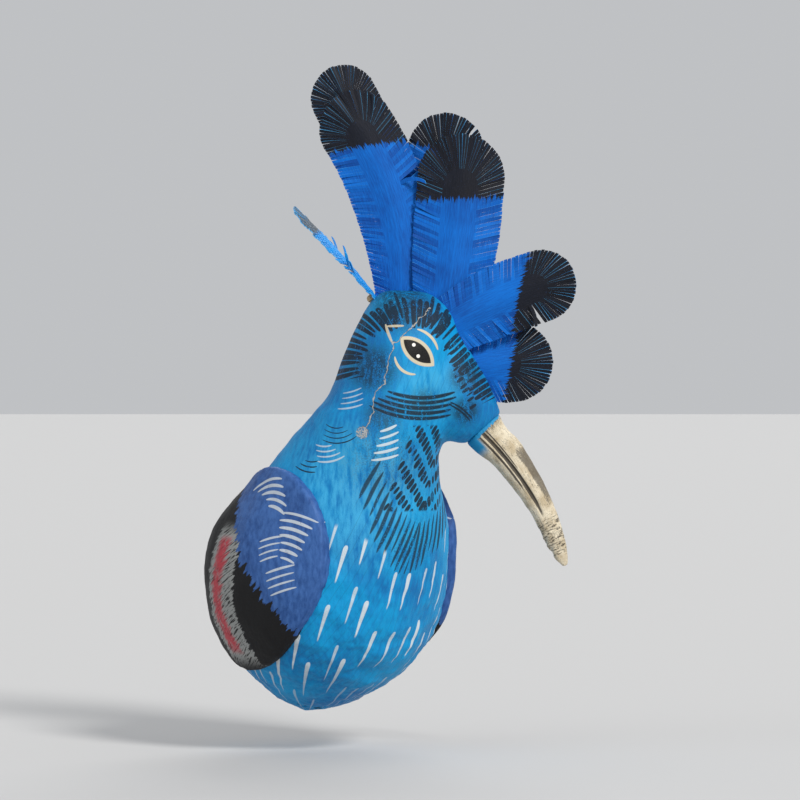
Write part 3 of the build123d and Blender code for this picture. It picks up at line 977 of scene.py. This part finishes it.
def feather(number, values, paints, luck):
    """One feather: its uncut middle and its strips, joined, then given the card's thickness."""
    *form, dark_from, dark_slant = values
    card = Card(*form)
    snips = list(card.snips())
    edge_at = card.length * dark_from
    parts = []

    def placed(across, along, lift, shade):
        beyond = along - edge_at - dark_slant * across
        return HEAD_FRAME @ (card.lay(across, along, lift) * MM), Vector((across, beyond, shade))

    bpy.ops.mesh.primitive_grid_add(
        x_subdivisions=4, y_subdivisions=len(snips) - 1, size=1, location=(0, 0.5, 0)
    )
    middle_model = bpy.context.object
    bpy.ops.object.transform_apply(location=True)

    def middle(co):
        row = snips[round(co.y * (len(snips) - 1))][0]
        return placed(row[0] * co.x * 2, row[1], 0, 0.5)

    parts.append(shaped(middle_model, "middle", middle, paints))
    bpy.data.objects.remove(middle_model)
    loose = {}
    for which, side, share, lift, turn in LOOSE:
        if which == number:
            loose[(side, round(share * (len(snips) - 1)))] = (lift, turn)
    for side in (-1, 1):
        for index, (near, far) in enumerate(zip(snips, snips[1:])):
            lift, turn = loose.get((side, index), (luck.uniform(-1, 1.5), luck.uniform(-0.6, 0.6)))
            roll = luck.uniform(-0.35, 0.35)
            curl = luck.uniform(-0.3, 0.9)
            strip_number = luck.randrange(1, 90)
            gap = luck.uniform(0.01, 0.05)
            trim = luck.uniform(0.97, 1.0)

            def strip(co):
                share = co.x
                spot = co.y if side > 0 else 1 - co.y
                spot = 0.5 + (spot - 0.5) * (1 - gap * min(1, 4 * share))
                root = Vector(near[0]).lerp(Vector(far[0]), spot)
                end = Vector(near[1]).lerp(Vector(far[1]), spot)
                run = (end - root) * share * trim
                pivot = Matrix.Rotation(radians(turn) * share, 2)
                place = root + pivot @ run
                up = run.length * sin(radians(lift)) + curl * share**2 + roll * (spot - 0.5) * 2 * share
                return placed(place.x * side, place.y, up, strip_number + 0.02 + 0.96 * co.y)

            parts.append(shaped(strip_model, "strip", strip, paints))
    alone(parts[0])
    for part in parts:
        part.select_set(True)
    bpy.ops.object.join()
    piece = bpy.context.view_layer.objects.active
    piece.name = f"painted_feather_{number}"
    bpy.ops.object.mode_set(mode="EDIT")
    bpy.ops.mesh.select_all(action="SELECT")
    bpy.ops.mesh.remove_doubles(threshold=0.02 * MM)
    bpy.ops.mesh.flip_normals()
    bpy.ops.object.mode_set(mode="OBJECT")
    modify(piece, "SOLIDIFY", thickness=CARD * MM, offset=-1, material_offset_rim=1, use_even_offset=False)
    bpy.ops.object.shade_smooth_by_angle(angle=radians(30))
    return piece


def feather_paint(dark, light, tip):
    """Brushed blue with a black tip and a painted highlight along the crease; the paint's edge is as jagged
    as the brush left it.
    """

    def paint(place):
        card_place = place.add("ShaderNodeAttribute", {"attribute_name": "card_place"}, {}, "Vector")
        across = card_place.dot((1, 0, 0))
        beyond = card_place.dot((0, 1, 0))
        strip = card_place.dot((0, 0, 1))
        number = strip.floor()
        shade = number.chance()
        rim = (strip - number).fades(0.80, 0.93) * number.fades(0.4, 0.6)
        drag = card_place.stretched(1.4, 0.12, 0).noise(1.0, 4, 0.6)
        grit = place.noise(1.2, 4, 0.7)
        broad = place.noise(0.03, 2)
        teeth = card_place.stretched(0.55, 0.03, 0).noise(1.0, 3, 0.8) - 0.5
        black = (beyond + teeth * 22).fades(-0.3, 0.5)
        lit = (drag * 0.45 + broad * 0.4 + shade * 0.22).fades(0.32, 0.75)
        colour = lit.blend(dark, light)
        # painted highlight: a pale line along the crease, where the fold's ridge catches the light
        colour = (abs(across).fades(0.9, 0.2) * 0.35).blend(colour, light)
        night = (grit * 0.5 + drag * 0.5).fades(0.4, 0.75).blend(tip, (0.014, 0.012, 0.012, 1))
        colour = (black * (0.98 - grit.fades(0.66, 0.74) * 0.5)).blend(colour, night)
        bare = rim * shade.fades(0.45, 0.75) * (0.25 + 0.75 * black) * (0.4 + 0.6 * grit.fades(0.35, 0.5))
        colour = (bare * 0.45).blend(colour, (0.10, 0.42, 0.72, 1))
        return colour, 0.5 + grit * 0.25 - black * 0.08, drag * 0.12 + grit * 0.08

    return paint


def bare_card_paint(place):
    """The snipped edge: bright blue card with a little fuzz."""
    fuzz = place.noise(1.5, 3)
    return fuzz.blend((0.03, 0.28, 0.62, 1), (0.12, 0.48, 0.85, 1)), fuzz * 0.2 + 0.6, fuzz * 0.1


crest_blue = coloured(
    "crest_blue", feather_paint((0.0, 0.05, 0.27, 1), (0.0, 0.15, 0.60, 1), (0.004, 0.004, 0.004, 1)),
    Specular_IOR_Level=0.2,
)
# Painted light: the nape feather's paint is a paler copy of the crest's, with a grey tip instead of black,
# for the light that falls on this feather and not on the shaded crest.
lit_nape_blue = coloured(
    "lit_nape_blue", feather_paint((0.0, 0.16, 0.50, 1), (0.01, 0.33, 0.80, 1), (0.03, 0.05, 0.07, 1)),
    Specular_IOR_Level=0.2,
)
card_edge = coloured("card_edge", bare_card_paint)
scissors = Random(7)
for number, values in enumerate(FEATHERS, start=1):
    paints = (lit_nape_blue if number == 1 else crest_blue, card_edge)
    piece = feather(number, values, paints, scissors)
    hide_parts(f"crest_feather_{number}")
    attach(piece, "root")
bpy.data.objects.remove(strip_model)


# ---- crest sticks -------------------------------------------------------------------------------
# A thin stick of split cane is glued behind each crease, and its foot goes through the crown.
def cane_paint(place):
    """Straw-coloured cane with fine grain and a few dark nodes."""
    grain = place.stretched(2.2, 2.2, 0.12).noise(1.0, 4)
    colour = grain.fades(0.3, 0.7).blend((0.38, 0.24, 0.10, 1), (0.66, 0.50, 0.28, 1))
    return colour, grain * 0.2 + 0.4, grain * 0.12


split_cane = coloured("split_cane", cane_paint)
for number in range(1, len(FEATHERS) + 1):
    wear(split_cane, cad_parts[f"crest_stick_{number}"])


# ---- crest glue ---------------------------------------------------------------------------------
# A drop of bone glue sits on the crown behind the foot of each stick, dried glossy and amber.
def glue_paint(place):
    """Amber glue, paler where it is thin."""
    thin = place.noise(0.6, 3)
    return thin.blend((0.30, 0.16, 0.05, 1), (0.62, 0.46, 0.24, 1)), thin * 0.15 + 0.12, thin * 0.15


bone_glue = coloured("bone_glue", glue_paint, Transmission_Weight=0.25, Coat_Weight=0.5)
wear(bone_glue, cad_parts["crest_glue"])
